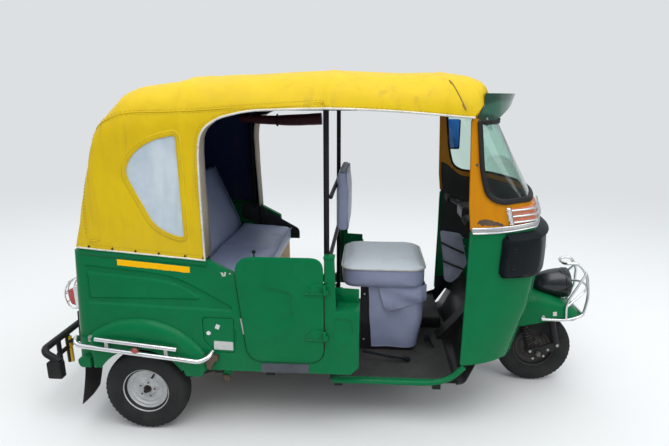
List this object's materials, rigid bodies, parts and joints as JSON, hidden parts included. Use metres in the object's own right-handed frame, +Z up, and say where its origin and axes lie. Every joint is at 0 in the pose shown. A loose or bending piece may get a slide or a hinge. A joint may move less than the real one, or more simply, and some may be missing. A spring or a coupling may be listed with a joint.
{
  "type": "auto rickshaw",
  "caption": "Three-wheeled motor taxi with a canvas canopy over a rear bench, a driver's cab behind a wrap-round windscreen, and a small front wheel steered by a handlebar.",
  "frame": {"origin": "on the ground, midway along the length and on the centre line", "axes": "+X forward, +Y to the vehicle's left, +Z up"},
  "size_m": [2.84, 1.364, 1.7064],
  "materials": {
    "green_paint": "gloss enamel",
    "yellow_cloth": "coated canvas",
    "yellow_paint": "gloss enamel",
    "ochre_paint": "worn enamel",
    "black_paint": "satin",
    "dark_plastic": "grained",
    "seat_vinyl": "embossed vinyl",
    "tyre": "worn",
    "wheel_silver": "dusty silver paint",
    "wheel_dark": "dusty black paint",
    "chrome": "bright",
    "glass": "clear",
    "window_film": "soft clear sheet",
    "green_tint": "tinted acrylic",
    "amber": "lens",
    "red_lens": "lens",
    "rubber": "flat",
    "engine_metal": "oily"
  },
  "bodies": {
    "chassis": {"side_panel_right": "green_paint", "side_panel_left": "green_paint", "fenders": "green_paint", "rear_panel": "green_paint", "floor_pan": "black_paint", "underframe": "black_paint", "sill_tubes": "green_paint", "engine_block": "engine_metal", "bench_base": "ochre_paint", "bench_cushion": "seat_vinyl", "bench_backrest": "seat_vinyl", "driver_cushion": "seat_vinyl", "driver_seat_base": "black_paint", "driver_skirt": "seat_vinyl", "driver_backrest": "seat_vinyl", "seat_posts": "black_paint", "canopy_hood": "yellow_cloth", "canopy_windows": "window_film", "canopy_frame": "black_paint", "front_cowl": "green_paint", "front_upper": "yellow_paint", "windscreen": "glass", "lamp_housings": "dark_plastic", "front_mask": "dark_plastic", "indicators": "amber", "sun_visor": "green_tint", "dashboard": "dark_plastic", "rear_suspension": "black_paint", "rear_bumper": "black_paint", "side_guards": "chrome", "mudflaps": "rubber", "mirror": "dark_plastic", "tail_lamps": "red_lens"},
    "steering": {"front_fork": "black_paint", "handlebar": "black_paint", "front_mudguard": "green_paint", "headlamp": "dark_plastic", "headlamp_guard": "chrome"},
    "front_wheel": {"front_tyre": "tyre", "front_rim": "wheel_dark"},
    "rear_wheel_right": {"rear_right_tyre": "tyre", "rear_right_rim": "wheel_silver"},
    "rear_wheel_left": {"rear_left_tyre": "tyre", "rear_left_rim": "wheel_silver"},
    "right_door": {"door_right": "green_paint"},
    "rear_lid": {"engine_lid": "green_paint"},
    "fuel_flap": {"filler_flap": "green_paint"}
  },
  "joints": [
    {"name": "steering_turn", "type": "hinge", "parent": "chassis", "child": "steering", "pos_m": [0.75, 0, 0.97], "axis": [-0.4848, 0, 0.8746], "range_deg": [-40, 40]},
    {"name": "front_wheel_spin", "type": "hinge", "parent": "steering", "child": "front_wheel", "pos_m": [1.15, 0, 0.203], "axis": [0, 1, 0], "continuous": true},
    {"name": "rear_wheel_right_spin", "type": "hinge", "parent": "chassis", "child": "rear_wheel_right", "pos_m": [-0.85, -0.5765, 0.203], "axis": [0, 1, 0], "continuous": true},
    {"name": "rear_wheel_left_spin", "type": "hinge", "parent": "chassis", "child": "rear_wheel_left", "pos_m": [-0.85, 0.5765, 0.203], "axis": [0, 1, 0], "continuous": true},
    {"name": "right_door_swing", "type": "hinge", "parent": "chassis", "child": "right_door", "pos_m": [0.016, -0.628, 0.64], "axis": [0, 0, 1], "range_deg": [0, 100]},
    {"name": "rear_lid_swing", "type": "hinge", "parent": "chassis", "child": "rear_lid", "pos_m": [-1.16463, 0, 0.72], "axis": [0, 1, 0], "range_deg": [0, 80]},
    {"name": "fuel_flap_swing", "type": "hinge", "parent": "chassis", "child": "fuel_flap", "pos_m": [-0.399, -0.6143, 0.507], "axis": [0, 0, 1], "range_deg": [0, 90]}
  ]
}
